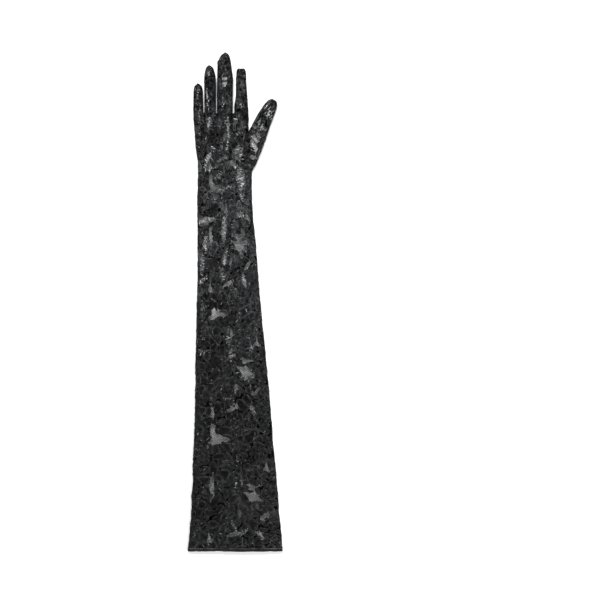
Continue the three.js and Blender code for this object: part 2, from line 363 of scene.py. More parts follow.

# Places where the petals are worked in glossy satin stitch, drawn lighter as painted highlights, and places
# with a gain under 0, drawn darker as painted shade in the folds, creases, fingertips and lower arm.
SATIN_GLINT_AND_SHADE = table("x y long wide turn gain", """
8 172 34 12 95 1
9.5 202 24 9 88 1
2 211 18 11 70 0.6
0 190 9 7 10 1
-12 254 14 5 70 0.9
-9.5 240 16 5 95 1
-10 227 14 5 82 0.9
-11.5 216 12 5 70 0.7
-30 214 11 6 120 1
-37 203 16 7 60 1
-41 192 14 6 65 0.8
4.5 236 12 6 10 0.7
1 257 15 7 40 0.6
-37 250 16 6 80 0.7
-50 246 30 4 92 0.5
-36 186 16 10 20 0.7
-24 176 16 8 40 0.6
-16 158 24 8 20 0.5
10 146 14 8 120 0.6
-43 115 26 12 15 1
-15 104 40 8 90 1
-40 80 26 8 85 0.9
8 121 13 11 0 0.9
8 88 30 10 150 0.5
-46 52 30 8 88 0.8
-14 62 22 7 80 0.8
-16 38 20 10 115 0.9
-46 30 16 8 30 1
12 34 16 8 100 0.8
-14.3 312.4 5 9 90 0.5
-14 303.6 8 8 90 0.5
-35 321 14 5 75 0.9
-38.5 286 26 4 95 0.9
-52 291 20 6 85 0.8
-49.5 268 22 3 88 0.5
-17.5 279 14 4 90 0.7
8.5 274 10 9 0 0.5
-8 -46 30 11 85 0.6
-42 -8 14 10 40 0.7
-44 -70 14 10 0 0.6
14 -106 18 7 155 0.4
-12 -134 13 6 0 0.6
0 -143 11 3 110 0.7
27.6 -160 17 3 115 0.7
26.6 -192 10 3 100 0.5
3 -219 12 3 95 0.7
1.5 -252 15 4 88 0.6
8.5 -252 13 4.5 92 0.6
-31 -251 26 3 88 0.5
-1 -312 18 5 110 0.9
11 -322 16 5 45 0.9
36 -326 13 5 110 0.9
-37 -331 17 3 88 0.8
48 -48 16 4 110 0.7
22 -62 18 4 20 0.5
-45 238 52 7 86 -1.8
-30 240 52 7 76 -1.8
-20 232 40 5 64 -1.4
-2 242 36 7 95 -1.6
1.5 222 34 6 58 -2
18 222 64 8 95 -1.6
-14.2 308.3 12 2.2 0 -1.6
8.2 319 20 12 0 -0.6
-13 337 18 16 0 -0.7
-34 110 60 8 80 -0.6
-30 -300 60 50 0 -0.4
10 -150 90 30 60 -0.3
""")
# Glossy satin stitch on the thumb, drawn lighter as painted highlights.
THUMB_SATIN_GLINT = table("x y long wide turn gain", """
1 -22.5 11 8 100 1
1 -44 9 5 100 0.8
4 -57 8 4 130 0.5
""")

# Painted light and shade along the glove: the threads are drawn lightest at the wrist, darker down the arm
# and on the hand, and darkest on the fingers, after where the light falls.
PAINTED_LIGHT_ALONG_GLOVE = table("y tone", """
-348 -0.1
-330 -0.3
-290 -0.6
-80 -0.6
-30 -0.35
40 -0.2
70 0.1
165 0.1
200 -0.1
250 -0.2
272 -1.3
350 -1.3
""")

# Places of the palm that are worked solid under an open figure of the back.
PALM_SOLID = table("x y half_x half_y", """
-34 -77.7 10 18
-36 -3 9 9
1 -218 7 11
""")


def look_up(rows, y, key):
    """One column of a table at any y."""
    return np.interp(y, [row["y"] for row in rows], [row[key] for row in rows])


def sides_at(rows, y):
    """A table's left, right and high at any y."""
    return [look_up(rows, y, key) for key in ("left", "right", "high")]


def unit(vectors):
    return vectors / np.maximum(np.linalg.norm(vectors, axis=-1), 1e-9)[..., None]


def arc_length(points):
    """The length run at each of a row of points."""
    return np.concatenate([[0], np.cumsum(np.linalg.norm(np.diff(points, axis=0), axis=1))])


def quads(a, b, c, d):
    """Two triangles for each four corners."""
    return np.concatenate([np.stack(three, -1).reshape(-1, 3) for three in ((a, b, c), (a, c, d))])


def smooth(share):
    return share * share * (3 - 2 * share)


def turned(row, dx, dy):
    """Distances in X and Y from a row's place, as distances along and across its own axis."""
    turn = math.radians(row["turn"])
    c, s = math.cos(turn), math.sin(turn)
    return dx * c + dy * s, dy * c - dx * s


def shares(row, dx, dy):
    """The same, as shares of the row's half length and half width."""
    along, across = turned(row, dx, dy)
    return along / (row["long"] / 2), across / (row["wide"] / 2)


def fold_at(x, y):
    total = np.zeros(np.broadcast(x, y).shape)
    for row in FOLDS:
        along, across = shares(row, x - row["x"], y - row["y"])
        total += row["deep"] * np.exp(-(along**2 + across**2))
    return total


def gloss_glint_and_shade_at(x, y):
    """How glossy a place's stitches are and how light they are drawn as painted highlight, from 0 to 1, or
    under 0 where they are drawn darker as painted shade in folds and creases.
    """
    bright, dark = np.zeros(x.shape), np.zeros(x.shape)
    for row in SATIN_GLINT_AND_SHADE:
        along, across = shares(row, x - row["x"], y - row["y"])
        here = row["gain"] * np.exp(-((along**2 + across**2) ** 1.5))
        bright, dark = np.maximum(bright, here), np.minimum(dark, here)
    return bright + dark


# Gloss and painted light at a place: the glossy stitches with their painted highlights and shade, and the
# painted light and shade along the glove.
def gloss_and_painted_light_at(x, y):
    return gloss_glint_and_shade_at(x, y) + look_up(PAINTED_LIGHT_ALONG_GLOVE, y, "tone")


class Noise:
    """Smooth noise from -1 to 1, the same at each run."""

    def __init__(self, seed):
        self.grid = np.random.default_rng(seed).uniform(-1, 1, (256, 256))

    def __call__(self, x, y, size):
        u, v = np.asarray(x, float) / size, np.asarray(y, float) / size
        i, j = np.floor(u).astype(int), np.floor(v).astype(int)
        a, b = smooth(u - i), smooth(v - j)
        low, high = (
            self.grid[i % 256, row % 256] * (1 - a) + self.grid[(i + 1) % 256, row % 256] * a
            for row in (j, j + 1))
        return low * (1 - b) + high * b


noise_a, noise_b, noise_c = Noise(11), Noise(23), Noise(37)


def layered(x, y, *layers, start=0):
    """Noises of their own height and size, added up."""
    return sum((high * noise(x, y, size) for noise, high, size in layers), start)


# The lace's pattern: petals, leaves and small curls grow from short lines on a chart, one repeat long.
def chart_place(row):
    return (row["across"] - 0.5) * CHART_WIDTH, row["along"] * LACE_REPEAT


def figure(row, u, v):
    """How far outside an open figure a place is, about in millimetres, or under 0 inside it."""
    a, b = shares(row, u, v)
    if row["points"] == 2:
        return (np.hypot(a, b) - 1) * row["wide"] / 2
    waist = FIGURE_WAIST * math.cos(math.pi / row["points"])
    tip = ((1 + np.cos(row["points"] * np.arctan2(b, a))) / 2) ** FIGURE_SHARPNESS
    return (np.hypot(a, b) - waist - (1 - waist) * tip) * row["wide"] / 2


def line_distance(x, y, lines):
    """Distances (points, lines) to short lines."""
    ax, ay, bx, by = (lines[:, k][None, :] for k in range(4))
    dx, dy = bx - ax, by - ay
    px, py = x[:, None] - ax, y[:, None] - ay
    t = np.clip((px * dx + py * dy) / np.maximum(dx * dx + dy * dy, 1e-9), 0, 1)
    return np.hypot(px - t * dx, py - t * dy)


def line_about(x, y, dx, dy, weight):
    return x - dx, y - dy, x + dx, y + dy, weight


def seed_lines():
    """Lines x1 y1 x2 y2 weight that the petals and leaves grow from. A heavier one grows wider."""
    rows = []
    rng = np.random.default_rng(5)
    for flower in FLOWERS:
        x, y = chart_place(flower)
        rows.append(line_about(x, y, 0.5, 0, 1.2))
        for k in range(int(flower["petals"])):
            a = math.radians(flower["turn"]) + 2 * math.pi * k / flower["petals"]
            c, s = math.cos(a), math.sin(a)
            near, far = 0.44 * flower["reach"], 0.8 * flower["reach"]
            rows.append((x + near * c, y + near * s, x + far * c, y + far * s, 0.6))
    for leaf in LEAVES:
        a, half = math.radians(leaf["turn"]), leaf["long"] / 2 - 2.5
        rows.append(line_about(*chart_place(leaf), half * math.cos(a), half * math.sin(a), 0.8))
    drawn = np.array(rows)
    flow = Noise(71)
    for j in range(int(LACE_REPEAT / CURL_TALL) + 1):
        for i in range(-9, 10):
            y = (j + 0.5) * CURL_TALL + rng.uniform(-2.6, 2.6)
            x = (i + 0.5 * (j % 2)) * CURL_WIDE + rng.uniform(-2.0, 2.0)
            angle = 1.3 * float(flow(x + 900, y + 900, 40)) + 1.5 + rng.uniform(-0.4, 0.4)
            size, weight = rng.uniform(2.2, 5.8), rng.uniform(-0.9, 0.9)
            if y >= LACE_REPEAT:
                continue
            near = min(line_distance(np.array([x]), np.array([y + dy]), drawn).min()
                       for dy in (-LACE_REPEAT, 0, LACE_REPEAT))
            if near < CURL_ROOM:
                continue
            places = ((window, *chart_place(window)) for window in WINDOWS)
            if any(figure(window, x - wx, y - wy) < 0.5 for window, wx, wy in places):
                continue
            rows.append(line_about(x, y, size * math.cos(angle), size * math.sin(angle), weight))
    return np.array(rows)


# The lines again past both ends of the repeat, so that it joins on to itself.
SEEDS = seed_lines()
early = np.flatnonzero(SEEDS[:, 1] < CHART_OVERLAP)
late = np.flatnonzero(SEEDS[:, 1] > LACE_REPEAT - CHART_OVERLAP)
NUMBERS = np.concatenate([np.arange(len(SEEDS)), early, late])
LINES = SEEDS[NUMBERS]
LINES[len(SEEDS):, 1:4:2] += np.repeat([LACE_REPEAT, -LACE_REPEAT], [len(early), len(late)])[:, None]


def petals(x, y):
    """Each place's petal: how far in from its edge, its number, and how far along and across it."""
    x, y = np.ravel(x), np.mod(np.ravel(y) - HEM_Y, LACE_REPEAT)
    out = [np.empty(len(x)) for _ in range(4)]
    for start in range(0, len(x), 8000):
        part = slice(start, start + 8000)
        away = line_distance(x[part], y[part], LINES) - LINES[:, 4][None, :]
        order = np.argpartition(away, 3, axis=1)[:, :3]
        three = np.take_along_axis(away, order, 1)
        rank = three.argsort(1)
        order, three = np.take_along_axis(order, rank, 1), np.take_along_axis(three, rank, 1)
        one, two, third = three.T
        nearest = order[:, 0]
        line = LINES[nearest]
        axis = unit(line[:, 2:4] - line[:, :2])
        px, py = x[part] - (line[:, 0] + line[:, 2]) / 2, y[part] - (line[:, 1] + line[:, 3]) / 2
        rounded = -np.log(np.exp(-(two - one) / ROUND) + np.exp(-(third - one) / ROUND)) * ROUND
        out[0][part] = rounded / 2 + 0.35
        out[1][part] = NUMBERS[nearest]
        out[2][part] = px * axis[:, 0] + py * axis[:, 1]
        out[3][part] = py * axis[:, 0] - px * axis[:, 1]
    return out


def warp(x, y):
    """How far the petals are pulled off the chart, so that they curve and never quite repeat."""
    dx = layered(x + 600, y + 900, (noise_b, 3.0, 17), (noise_a, 1.3, 7))
    dy = layered(x + 650, y + 800, (noise_c, 3.0, 17), (noise_b, 1.3, 7))
    return dx, dy


# The glove's surfaces.
class Sheet:
    """A grid of surface points in rows across the glove: p and normals n, x and y before any turn, and
    cx and cy on the lace's chart. kind is arm, finger or thumb, and side is 1 on the back, -1 on the palm."""

    def __init__(self, kind, side, p, n, x, y, cx, cy):
        self.kind, self.side, self.of_thumb = kind, side, kind == "thumb"
        self.p, self.n, self.x, self.y, self.cx, self.cy = p, n, x, y, cx, cy

    def tris(self):
        rows, cols = self.p.shape[:2]
        i = np.arange(rows * cols).reshape(rows, cols)
        a, b, c, d = i[:-1, :-1], i[:-1, 1:], i[1:, 1:], i[1:, :-1]
        flip = ((np.arange(rows - 1)[:, None] + np.arange(cols - 1)[None, :]) % 2).astype(bool)[..., None]
        one = np.where(flip, np.stack([a, b, d], -1), np.stack([a, b, c], -1))
        two = np.where(flip, np.stack([b, c, d], -1), np.stack([a, c, d], -1))
        tris = np.concatenate([one.reshape(-1, 3), two.reshape(-1, 3)])
        return tris if self.side > 0 else tris[:, ::-1]

    def locate(self, x, y, on_chart=False):
        """Rows and columns, as fractions, of places in plan or on the chart, and which are on the grid."""
        grid, row_y = (self.cx, self.cy[:, 0]) if on_chart else (self.x, self.y[:, 0])
        i = np.clip(np.interp(y, row_y, np.arange(len(row_y))), 0, len(row_y) - 1.001)
        nearest = np.round(i).astype(int)
        cols = grid.shape[1]
        j = np.zeros(len(x))
        for r in np.unique(nearest):
            here = nearest == r
            rising = np.maximum.accumulate(grid[r]) + np.arange(cols) * 1e-6
            j[here] = np.interp(x[here], rising, np.arange(cols))
        good = (j > 0.5) & (j < cols - 1.5) & (y >= row_y[0]) & (y <= row_y[-1])
        return i, np.clip(j, 0, cols - 1.001), good

    def sample(self, grid, i, j):
        a, b = i.astype(int), j.astype(int)
        s, t = i - a, j - b
        if grid.ndim == 3:
            s, t = s[:, None], t[:, None]
        return ((grid[a, b] * (1 - t) + grid[a, b + 1] * t) * (1 - s)
                + (grid[a + 1, b] * (1 - t) + grid[a + 1, b + 1] * t) * s)


def crown_z(rows, x, y):
    """Height of a table's rounded top at any place."""
    left, right, high = sides_at(rows, y)
    t = np.abs((x - (left + right) / 2) / ((right - left) / 2 - INSET)).clip(0, 1)
    return SEAM_Z + (1 - t**3) ** (1 / 3) * (high - INSET - SEAM_Z)


def knuckles(x, y, z):
    """The hand's top with the fingers' crowns rising out of it towards the crotches."""
    if y < KNUCKLE_Y:
        return z
    rise = min(1.0, (y - KNUCKLE_Y) / (CROTCH_Y - KNUCKLE_Y))
    crown = np.zeros(len(x))
    for rows in FINGERS.values():
        crown = np.maximum(crown, crown_z(rows, x, max(y, rows[0]["y"])))
    valley = z - VALLEY * rise**2 * np.exp(-((crown - SEAM_Z) / VALLEY) ** 2)
    return np.maximum(valley, np.where(crown > SEAM_Z, crown * rise + (SEAM_Z + 1) * (1 - rise), 0))


def outline_curve(kind, side, left, right, high, y, lows=(None, None)):
    """One row's curve from its left seam to its right seam, over the top or along the palm. lows are the
    heights that its ends are cut back to at left and right."""
    middle, half = (left + right) / 2, (right - left) / 2 - INSET
    base = INSET + 0.35
    foot = min(half * 0.7, SEAM_Z)
    seam = math.acos((SEAM_Z - PART_Z) / (SEAM_Z - base))
    if side > 0:
        bend = np.linspace(seam, math.pi / 2, 10)[:-1]
        a = math.pi * (0.5 + 0.5 * np.cos(math.pi * np.arange(CURVE_POINTS + 1) / CURVE_POINTS))
        x = half * np.sign(np.cos(a)) * np.abs(np.cos(a)) ** (2 / 3)
        z = SEAM_Z + np.sin(a).clip(0, 1) ** (2 / 3) * (high - INSET - SEAM_Z + fold_at(middle + x, y))
        if kind == "arm":
            z = knuckles(middle + x, y, z)
    else:
        bend = np.linspace(seam, 0, 12)[:-1]
        x = np.linspace(-1, 1, CURVE_POINTS) * (half - foot)
        z = np.full(CURVE_POINTS, base)
    xs = half - foot + foot * np.sin(bend)
    zs = SEAM_Z - (SEAM_Z - base) * np.cos(bend)
    x = middle + np.concatenate([-xs, x, xs[::-1]])
    z = np.concatenate([zs, z, zs[::-1]])
    keep = np.ones(len(x), bool)
    for part, low in zip((slice(0, len(x) // 2), slice(len(x) // 2, None)), lows):
        if low is not None:
            keep[part] &= z[part] >= low
    x, z = x[keep], z[keep]
    arc = np.concatenate([[0], np.cumsum(np.hypot(np.diff(x), np.diff(z)))])
    return x, z, arc, middle


def finger_lows(name, y):
    """Heights at which the fourchettes take over a finger's left and right side."""
    lows = [None, None]
    for strip in FOURCHETTES:
        low = PART_Z + STRIP_RISE * min(1.0, (strip["top"] - y) / STRIP_START)
        for k, key in enumerate(("right", "left")):
            if strip[key] == name and y <= strip["top"]:
                lows[k] = low
    return lows


def thumb_place(points):
    """The thumb's own points, turned and moved to where it is sewn in."""
    c, s = math.cos(-THUMB_TURN), math.sin(-THUMB_TURN)
    x, y = points[..., 0], points[..., 1]
    return np.stack([THUMB_TIP[0] + x * c - y * s, THUMB_TIP[1] + x * s + y * c, points[..., 2]], -1)


def thumb_local(x, y):
    """Places of the glove in the thumb's own X and Y."""
    c, s = math.cos(THUMB_TURN), math.sin(THUMB_TURN)
    dx, dy = x - THUMB_TIP[0], y - THUMB_TIP[1]
    return dx * c - dy * s, dx * s + dy * c


def chart_x(kind, arcs, x, ys, left, right):
    """How far across the lace's chart a sheet's points lie. The hand's chart eases into the fingers'."""
    crotch_left, crotch_right, _ = sides_at(ARM, CROTCH_Y)
    on_hand = (x - (crotch_left + crotch_right) / 2) * (CHART_WIDTH / (crotch_right - crotch_left))
    if kind == "finger":
        return on_hand
    if kind == "thumb":
        return (arcs + ((left + right) / 2)[:, None]) * 1.25 + 8
    share = smooth(((ys - EASE_Y) / (CROTCH_Y - 4 - EASE_Y)).clip(0, 1)[:, None])
    return arcs * (CHART_WIDTH / (right - left))[:, None] * (1 - share) + on_hand * share


def build_sheet(kind, side, rows, from_y, to_y, cols, name=None):
    """A sheet over one table's rows between two places. name is that of a finger."""
    count = max(3, int(round((to_y - from_y) / STEP[side])) + 1)
    ys = np.linspace(from_y, to_y, count)
    left, right, high = sides_at(rows, ys)
    points, arcs = np.zeros((count, cols, 3)), np.zeros((count, cols))
    for r in range(count):
        lows = finger_lows(name, ys[r]) if kind == "finger" and side > 0 else (None, None)
        x, z, arc, middle = outline_curve(kind, side, left[r], right[r], high[r], ys[r], lows)
        at = np.linspace(0, arc[-1], cols)
        points[r, :, 0] = np.interp(at, arc, x)
        points[r, :, 2] = np.interp(at, arc, z)
        arcs[r] = at - np.interp(middle, np.maximum.accumulate(x) + np.arange(len(x)) * 1e-7, arc)
    points[:, :, 1] = ys[:, None]
    x, y = points[:, :, 0].copy(), points[:, :, 1].copy()
    if kind == "thumb":
        points = thumb_place(points)
    normals = unit(np.cross(np.gradient(points, axis=1), np.gradient(points, axis=0)) * side)
    chart_y = y + (THUMB_CHART_Y if kind == "thumb" else 0)
    return Sheet(kind, side, points, normals, x, y, chart_x(kind, arcs, x, ys, left, right), chart_y)


def window_field(sheet, pull_x, pull_y):
    """How far outside the open figures each grid point is, or under 0 inside one."""
    window = np.full(sheet.x.shape, FAR)
    for repeat in range(-1, 5):
        for row in () if sheet.of_thumb else WINDOWS:
            y = HEM_Y + (repeat + row["along"]) * LACE_REPEAT
            by_thumb = y > THUMB_ROOT_Y and row["across"] > THUMB_ROOT_ACROSS
            near = np.abs(sheet.cy[:, 0] - y) < WINDOW_REACH
            if y > WINDOW_TOP_Y or y < HEM_Y + 10 or by_thumb or not near.any():
                continue
            u = sheet.cx[near] + pull_x[near] * 0.6 - (row["across"] - 0.5) * CHART_WIDTH
            v = sheet.cy[near] + pull_y[near] * 0.6 - y
            window[near] = np.minimum(window[near], figure(row, u * 0.86, v * 0.94) - 0.2)
    for row in PLACED[sheet.kind]:
        u, v = sheet.x - row["x"] + pull_x * 0.4, sheet.y - row["y"] + pull_y * 0.4
        along, across = turned(row, u, v)
        open_here = figure(row, u, v)
        for k in range(int(row["bars"])):
            bar = (k + 1) / (row["bars"] + 1) * row["long"] - row["long"] / 2
            slope = 0.25 * across * (1 if k % 2 else -1)
            open_here = np.maximum(open_here, 0.75 - np.abs(along - bar - slope))
        window = np.minimum(window, open_here)
    return window


def lace_field(sheet):
    """Where the lace is solid, over 0, or open, under 0, at each grid point, and its petals there."""
    shape = sheet.cx.shape
    shift = 0 if sheet.side > 0 else PALM_SHIFT
    pull_x, pull_y = warp(sheet.cx, sheet.cy + shift)
    drawn = petals(sheet.cx + pull_x, sheet.cy + shift + pull_y)
    edge, number, along, across = (grid.reshape(shape) for grid in drawn)
    x, y = sheet.x, sheet.y
    gap = layered(x + 300, y + 500, (noise_a, 0.5, 17), (noise_b, 0.22, 5), start=GAP)
    solid = edge - gap.clip(*GAP_RANGE[sheet.side])
    columns = np.arange(shape[1])
    spacing = np.linalg.norm(np.diff(sheet.p[shape[0] // 2], axis=0), axis=1).mean()
    solid += 2.2 * (1 - np.minimum(columns, columns[::-1]) * spacing / SEAM_SOLID).clip(0, 1)
    window = window_field(sheet, pull_x, pull_y)
    if sheet.side < 0 and not sheet.of_thumb:
        for row in PALM_SOLID:
            cover = (1 - np.hypot((x - row["x"]) / row["half_x"], (y - row["y"]) / row["half_y"])) * 8
            solid, window = np.maximum(solid, cover), np.maximum(window, cover)
    return solid, window, edge, number, along, across


def relief(sheet, window, edge, number, along, across):
    """Height of the padded, corded and crumpled lace over its even surface."""
    x, y, amount = sheet.x, sheet.y, RELIEF[sheet.kind, sheet.side]
    if sheet.kind == "arm" and sheet.side > 0:
        amount = 1 - 0.3 * ((y - 238) / 24).clip(0, 1)
    body = np.minimum(edge, PAD_WIDE) / PAD_WIDE
    pad = PAD * body * (2 - body)
    ring = RING * np.exp(-(((edge - RING_AT) / RING_WIDE) ** 2))
    bowed = along + 0.35 * np.abs(across)
    rungs = RUNG * np.cos(2 * math.pi * bowed / RUNG_PITCH) * np.clip(edge - 1.8, 0, 1)
    rungs = np.where(np.sin(number * 5.17) > -0.2, rungs, 0)
    offset = OFFSET * np.sin(number * 12.9898) * np.minimum(edge, 1.5) / 1.5
    crumple = layered(x, y, (noise_b, 0.7, 21), (noise_c, 0.62, 10), (noise_a, 0.42, 4.6))
    near_window = np.exp(-np.maximum(window, 0) / 3)
    height = (pad + ring + rungs + offset + crumple - 0.25 * near_window) * amount
    return height * (0.4 + 0.6 * np.abs(sheet.n[..., 2]))


# Mesh work.
def clip(tris, field, data):
    """Cuts triangles where field is 0 and keeps what is over it. Returns them, their data and the edges
    of the cut."""
    n = len(field)
    inside = field > 0
    count = inside[tris].sum(1)
    keep = tris[count == 3]
    part = tris[(count == 1) | (count == 2)]
    ins = inside[part]
    one = ins.sum(1) == 1
    odd = np.where(one, ins.argmax(1), (~ins).argmax(1))
    a, b, c = np.take_along_axis(part, (odd[:, None] + np.arange(3)) % 3, 1).T
    pairs = np.concatenate([np.stack([a, b], 1), np.stack([a, c], 1)])
    pairs.sort(axis=1)
    unique, back = np.unique(pairs[:, 0].astype(np.int64) * n + pairs[:, 1], return_inverse=True)
    low, high = unique // n, unique % n
    t = np.clip(field[low] / (field[low] - field[high]), 0.06, 0.94)
    ab, ac = n + back[:len(a)], n + back[len(a):]
    tris = np.concatenate([
        keep,
        np.stack([a, ab, ac], 1)[one],
        np.stack([ab, b, c], 1)[~one],
        np.stack([ab, c, ac], 1)[~one],
    ])
    used = np.unique(tris)
    remap = np.full(n + len(unique), -1)
    remap[used] = np.arange(len(used))
    segs = remap[np.where(one[:, None], np.stack([ab, ac], 1), np.stack([ac, ab], 1))]
    kept = {}
    for key, value in data.items():
        w = t.reshape((-1,) + (1,) * (value.ndim - 1))
        kept[key] = np.concatenate([value, value[low] * (1 - w) + value[high] * w])[used]
    return remap[tris], kept, segs[(segs >= 0).all(1)]


def chains(segs):
    """Runs of points through undirected segments that share ends."""
    links = {}
    for a, b in segs:
        links.setdefault(a, []).append(b)
        links.setdefault(b, []).append(a)
    done, runs = set(), []
    for start in [k for k, v in links.items() if len(v) != 2] + list(links):
        if start in done:
            continue
        run, here = [start], start
        done.add(start)
        while True:
            onward = [k for k in links[here] if k not in done]
            if not onward:
                break
            here = onward[0]
            done.add(here)
            run.append(here)
        closed = len(run) > 2 and start in links[run[-1]]
        runs.append(run + [start] if closed else run)
    return [run for run in runs if len(run) > 2]


def spaced(points, step):
    """A run of points again at even steps, smoothed a little, and whether it is closed."""
    closed = np.allclose(points[0], points[-1])
    arc = arc_length(points)
    count = max(3, int(round(arc[-1] / step)) + 1)
    at = np.linspace(0, arc[-1], count)
    out = np.stack([np.interp(at, arc, column) for column in points.T], 1)
    if count > 4:
        raw = out.copy()
        out[1:-1] = 0.25 * raw[:-2] + 0.5 * raw[1:-1] + 0.25 * raw[2:]
        if closed:
            out[0] = out[-1] = 0.25 * raw[-2] + 0.5 * raw[0] + 0.25 * raw[1]
    return out, closed


class Bag:
    """Vertices, faces and their attributes, gathered for one mesh. half is the half of the bake's picture
    that they go to, 0 at the left and 1 at the right, where they lie as in plan."""

    def __init__(self):
        self.v, self.f, self.uv, self.count = [], [], [], 0
        # One attribute of each vertex is gloss and painted light: over 0 a place is drawn lighter as painted
        # highlight and made glossier, and under 0 it is drawn darker as painted shade.
        self.values = {key: [] for key in ("rib", "edge", "tone", "run", "satin")}

    def add(self, verts, faces, half=0, **values):
        u = (verts[:, 0] + 72) / 144 * 0.49 + (0.005 if half == 0 else 0.505)
        uv = np.stack([u, (verts[:, 1] + 352) / 704 * 0.99 + 0.005], 1)
        self.v.append(verts)
        self.f.append(faces + self.count)
        self.uv.append(uv[faces].reshape(-1, 2))
        for key, parts in self.values.items():
            parts.append(np.broadcast_to(values.get(key, 0.0), len(verts)))
        self.count += len(verts)

    def build(self, name, finish):
        verts, faces = np.concatenate(self.v), np.concatenate(self.f)
        verts[:, 2] = np.maximum(verts[:, 2], FLOOR_GAP)
        mesh = bpy.data.meshes.new(name)
        mesh.vertices.add(len(verts))
        mesh.vertices.foreach_set("co", (verts * MM).astype(np.float32).ravel())
        mesh.loops.add(len(faces) * 3)
        mesh.loops.foreach_set("vertex_index", faces.astype(np.int32).ravel())
        mesh.polygons.add(len(faces))
        mesh.polygons.foreach_set("loop_start", np.arange(0, len(faces) * 3, 3, dtype=np.int32))
        mesh.update(calc_edges=True)
        layer = mesh.uv_layers.new(name="OFBake")
        layer.data.foreach_set("uv", np.concatenate(self.uv).astype(np.float32).ravel())
        for key, parts in self.values.items():
            attribute = mesh.attributes.new(key, "FLOAT", "POINT")
            attribute.data.foreach_set("value", np.concatenate(parts).astype(np.float32))
        mesh.polygons.foreach_set("use_smooth", np.ones(len(faces), bool))
        mesh.set_sharp_from_angle(angle=SHARP)
        mesh.materials.append(finish)
        piece = bpy.data.objects.new(name, mesh)
        bpy.context.scene.collection.objects.link(piece)
        return piece


def ring_angles(sides, start):
    angle = 2 * math.pi * (np.arange(sides) + start) / sides
    return np.cos(angle), np.sin(angle)


def add_tube(bag, points, normals, radius, sides=4, closed=False, half=0, tone=0.0, satin=0.0):
    """A thin cord through points, its section kept upright by the surface normals."""
    tangent = np.gradient(points, axis=0)
    if closed:
        tangent[0] = tangent[-1] = points[1] - points[-2]
    tangent = unit(tangent)
    side = unit(np.cross(normals, tangent))
    up = np.cross(tangent, side)
    c, s = (v[None, :, None] for v in ring_angles(sides, 0.5))
    n = len(points)
    verts = (points[:, None, :] + radius * (c * side[:, None, :] + s * up[:, None, :])).reshape(-1, 3)
    i, j = np.meshgrid(np.arange(n - 1), np.arange(sides), indexing="ij")
    k = (j + 1) % sides
    a, b, c, d = i * sides + j, i * sides + k, (i + 1) * sides + k, (i + 1) * sides + j
    if closed:
        c, d = np.where(i == n - 2, k, c), np.where(i == n - 2, j, d)
    faces = quads(a, b, c, d)
    if not closed:
        fan = np.arange(1, sides - 1)
        start = np.stack([np.zeros_like(fan), fan + 1, fan], 1)
        end = np.stack([np.zeros_like(fan), fan, fan + 1], 1) + (n - 1) * sides
        faces = np.concatenate([faces, start, end])
    bag.add(verts, faces, half, run=np.repeat(arc_length(points), sides), edge=DEEP, tone=tone,
            satin=np.repeat(np.broadcast_to(satin, n), sides))


def tube_along(bag, points, normals, radius):
    both, closed = spaced(np.concatenate([points, normals], 1), 1.6)
    add_tube(bag, both[:, :3], both[:, 3:], radius, closed=closed)


# The net.
def net_lines(sheet, open_at):
    """The strands of a net of hexagons over a sheet's open places, as lines in plan."""
    side = NET_PITCH / math.sqrt(3)
    low_y = sheet.y.min()
    lines = []
    for j in range(int((sheet.y.max() - low_y) / (1.5 * side)) + 1):
        y = low_y + j * 1.5 * side
        x = np.arange(sheet.x.min() + (j % 2) * NET_PITCH / 2, sheet.x.max(), NET_PITCH)
        left, top, right, low = (
            np.stack([x + dx * NET_PITCH / 2, np.full(len(x), y + dy * side)], 1)
            for dx, dy in ((-1, 0.5), (0, 1), (1, 0.5), (-1, -0.5)))
        lines += [np.stack(ends, 1) for ends in ((left, top), (top, right), (low, left))]
    lines = np.concatenate(lines)
    i, j, good = sheet.locate(*lines.mean(1).T)
    return lines[good & (sheet.sample(open_at, i, j) > -0.35)]


def add_net(bag, sheet, lines, p, window):
    """The strands as three-sided bars under the lace's points p."""
    radius = THUMB_STRAND if sheet.of_thumb else STRAND
    ends = []
    for k in range(2):
        i, j, _ = sheet.locate(*lines[:, k].T)
        ends.append((sheet.sample(p, i, j), sheet.sample(sheet.n, i, j)))
    (pa, na), (pb, nb) = ends
    n = unit(na + nb)
    pa, pb = pa - n * SHEET * 0.5, pb - n * SHEET * 0.5
    t = pb - pa
    length = np.linalg.norm(t, axis=1)
    ok = (length > 0.2) & (length < 3 * NET_PITCH)
    i, j, _ = sheet.locate(*lines[ok].mean(1).T)
    # Strands in the open figures are drawn lighter, a painted highlight.
    light = np.repeat(np.clip(1 - sheet.sample(window, i, j), 0, 1), 6)
    pa, pb, n, t = pa[ok], pb[ok], n[ok], t[ok] / length[ok][:, None]
    c, s = (v[None, :, None] for v in ring_angles(3, 0.75))
    ring = radius * (c * np.cross(n, t)[:, None, :] + s * n[:, None, :])
    pa, pb = pa - t * 0.08, pb + t * 0.08
    verts = np.concatenate([pa[:, None, :] + ring, pb[:, None, :] + ring], 1).reshape(-1, 3)
    pattern = np.array([(0, 1, 4), (0, 4, 3), (1, 2, 5), (1, 5, 4), (2, 0, 3), (2, 3, 5)])
    faces = ((np.arange(len(pa)) * 6)[:, None, None] + pattern[None]).reshape(-1, 3)
    bag.add(verts, faces, edge=DEEP, satin=light)


# Satin stitch.
def bar_places(sheet, p, places):
    """Points and normals of bars at three places each, and which bars lie on the sheet."""
    points, normals = (
        np.stack([sheet.sample(grid, i, j) for i, j, _ in places], 1) for grid in (p, sheet.n))
    return points, normals, np.all([good for _, _, good in places], 0)


